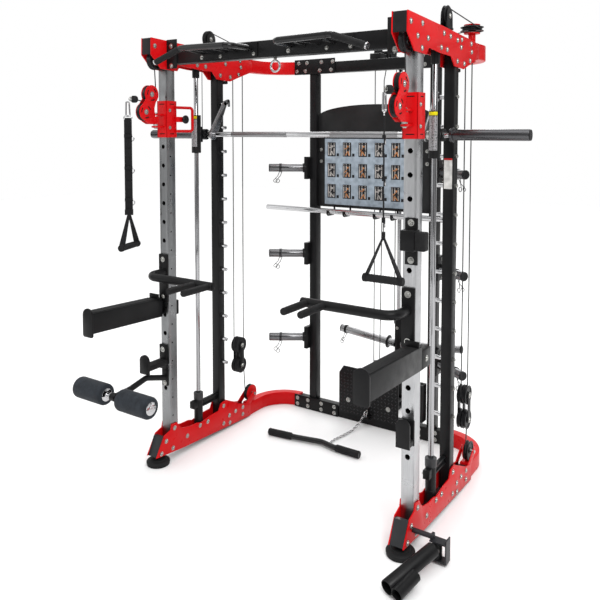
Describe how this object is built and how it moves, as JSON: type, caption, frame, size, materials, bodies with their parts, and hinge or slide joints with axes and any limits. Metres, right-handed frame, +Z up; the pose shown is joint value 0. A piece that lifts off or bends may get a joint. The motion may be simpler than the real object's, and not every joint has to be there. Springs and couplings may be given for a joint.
{
  "type": "smith machine",
  "caption": "Smith machine cage: guided barbell with safety hooks, swivelling cable carriages, rear weight tower, pull-up, dip and landmine attachments.",
  "frame": {"origin": "middle of the footprint, on the floor", "axes": "+Z up; +Y towards the back (weight tower); +X to the side of the landmine"},
  "size_m": [2.22, 1.95, 2.345],
  "materials": {
    "silver": "satin silver-grey powder coat",
    "black": "semi-gloss black powder coat",
    "red": "gloss red powder coat",
    "chrome": "polished hard chrome",
    "rubber": "matte moulded rubber",
    "foam": "closed-cell foam, blue-grey",
    "webbing": "woven nylon webbing",
    "panel": "printed sheet panel"
  },
  "bodies": {
    "root": {"front_top_beam": "black", "rear_top_beam": "black", "rear_base_beam": "black", "rear_tower": "black", "rear_pulley_block": "black", "info_panel": "panel", "stored_bar": "chrome", "footplate": "black", "bar_holder": "black", "upper_j_hook_right": "black", "leg_arm": "black", "curl_bar": "black", "chain": "chrome", "front_upright_left": "silver", "mid_upright_left": "black", "rear_upright_left": "black", "guide_rod_left": "chrome", "base_side_left": "red", "rubber_foot_left": "rubber", "top_side_left": "red", "base_corner_left": "red", "top_corner_left": "red", "top_pulley_block_left": "black", "pull_up_bar_left": "black", "dip_bar_left": "black", "spotter_arm_left": "black", "j_hook_left": "black", "front_upright_right": "silver", "mid_upright_right": "black", "rear_upright_right": "black", "guide_rod_right": "chrome", "base_side_right": "red", "rubber_foot_right": "rubber", "top_side_right": "red", "base_corner_right": "red", "top_corner_right": "red", "top_pulley_block_right": "black", "pull_up_bar_right": "black", "dip_bar_right": "black", "spotter_arm_right": "black", "j_hook_right": "black"},
    "smith_sliders": {"smith_slider_left": "silver", "smith_slider_right": "silver"},
    "smith_bar": {"smith_bar": "chrome"},
    "weight_carriage": {"weight_carriage": "black"},
    "leg_rollers": {"leg_rollers": "foam"},
    "landmine_clevis": {"landmine_clevis": "black"},
    "landmine_tube": {"landmine_tube": "black"},
    "cable_carriage_left": {"cable_carriage_left": "red"},
    "pop_pin_left": {"pop_pin_left": "black"},
    "swivel_head_left": {"swivel_head_left": "red"},
    "swivel_pulley_left": {"swivel_pulley_left": "black"},
    "strap_handle_left": {"strap_handle_left": "webbing"},
    "floating_block_left": {"floating_block_left": "black"},
    "cable_carriage_right": {"cable_carriage_right": "red"},
    "pop_pin_right": {"pop_pin_right": "black"},
    "swivel_head_right": {"swivel_head_right": "red"},
    "swivel_pulley_right": {"swivel_pulley_right": "black"},
    "strap_handle_right": {"strap_handle_right": "webbing"},
    "floating_block_right": {"floating_block_right": "black"}
  },
  "joints": [
    {"name": "smith_lift", "type": "slide", "parent": "root", "child": "smith_sliders", "axis": [0, 0, 1], "range_m": [-1.36, 0.18]},
    {"name": "smith_turn", "type": "hinge", "parent": "smith_sliders", "child": "smith_bar", "pos_m": [0, -0.167, 1.7585], "axis": [1, 0, 0], "range_deg": [0, 45]},
    {"name": "weight_lift", "type": "slide", "parent": "root", "child": "weight_carriage", "axis": [0, 0, 1], "range_m": [0, 1.3]},
    {"name": "leg_roller_spin", "type": "hinge", "parent": "root", "child": "leg_rollers", "pos_m": [-0.6875, -0.865, 0.47], "axis": [1, 0, 0], "continuous": true},
    {"name": "landmine_pitch", "type": "hinge", "parent": "root", "child": "landmine_clevis", "pos_m": [0.78, -0.512, 0.1], "axis": [1, 0, 0], "range_deg": [-80, 0]},
    {"name": "landmine_yaw", "type": "hinge", "parent": "landmine_clevis", "child": "landmine_tube", "pos_m": [0.853, -0.512, 0.053], "axis": [0, 0, 1], "range_deg": [-15, 35]},
    {"name": "carriage_lift_left", "type": "slide", "parent": "root", "child": "cable_carriage_left", "axis": [0, 0, 1], "range_m": [-0.24, 0.05]},
    {"name": "pop_pin_pull_left", "type": "slide", "parent": "cable_carriage_left", "child": "pop_pin_left", "axis": [1, 0, 0], "range_m": [0, 0.012], "stiffness_N_per_m": 600},
    {"name": "swivel_turn_left", "type": "hinge", "parent": "cable_carriage_left", "child": "swivel_head_left", "pos_m": [-0.7055, -0.545, 1.83], "axis": [0, 0, 1], "range_deg": [-25, 25]},
    {"name": "swivel_pulley_spin_left", "type": "hinge", "parent": "swivel_head_left", "child": "swivel_pulley_left", "pos_m": [-0.7055, -0.624, 1.874], "axis": [1, 0, 0], "continuous": true},
    {"name": "strap_swing_left", "type": "hinge", "parent": "swivel_head_left", "child": "strap_handle_left", "pos_m": [-0.707, -0.7335, 1.925], "axis": [1, 0, 0], "range_deg": [-60, 2]},
    {"name": "floating_block_lift_left", "type": "slide", "parent": "root", "child": "floating_block_left", "axis": [0, 0, 1], "range_m": [0, 1.3]},
    {"name": "carriage_lift_right", "type": "slide", "parent": "root", "child": "cable_carriage_right", "axis": [0, 0, 1], "range_m": [-0.24, 0.05]},
    {"name": "pop_pin_pull_right", "type": "slide", "parent": "cable_carriage_right", "child": "pop_pin_right", "axis": [-1, 0, 0], "range_m": [0, 0.012], "stiffness_N_per_m": 600},
    {"name": "swivel_turn_right", "type": "hinge", "parent": "cable_carriage_right", "child": "swivel_head_right", "pos_m": [0.7055, -0.545, 1.83], "axis": [0, 0, 1], "range_deg": [-25, 25]},
    {"name": "swivel_pulley_spin_right", "type": "hinge", "parent": "swivel_head_right", "child": "swivel_pulley_right", "pos_m": [0.7055, -0.624, 1.874], "axis": [1, 0, 0], "continuous": true},
    {"name": "strap_swing_right", "type": "hinge", "parent": "swivel_head_right", "child": "strap_handle_right", "pos_m": [0.707, -0.7335, 1.925], "axis": [1, 0, 0], "range_deg": [-60, 2]},
    {"name": "floating_block_lift_right", "type": "slide", "parent": "root", "child": "floating_block_right", "axis": [0, 0, 1], "range_m": [0, 1.3]}
  ],
  "couplings": [
    {"joint": "floating_block_lift_left", "follows": "weight_lift", "ratio": 1},
    {"joint": "floating_block_lift_right", "follows": "weight_lift", "ratio": 1}
  ]
}
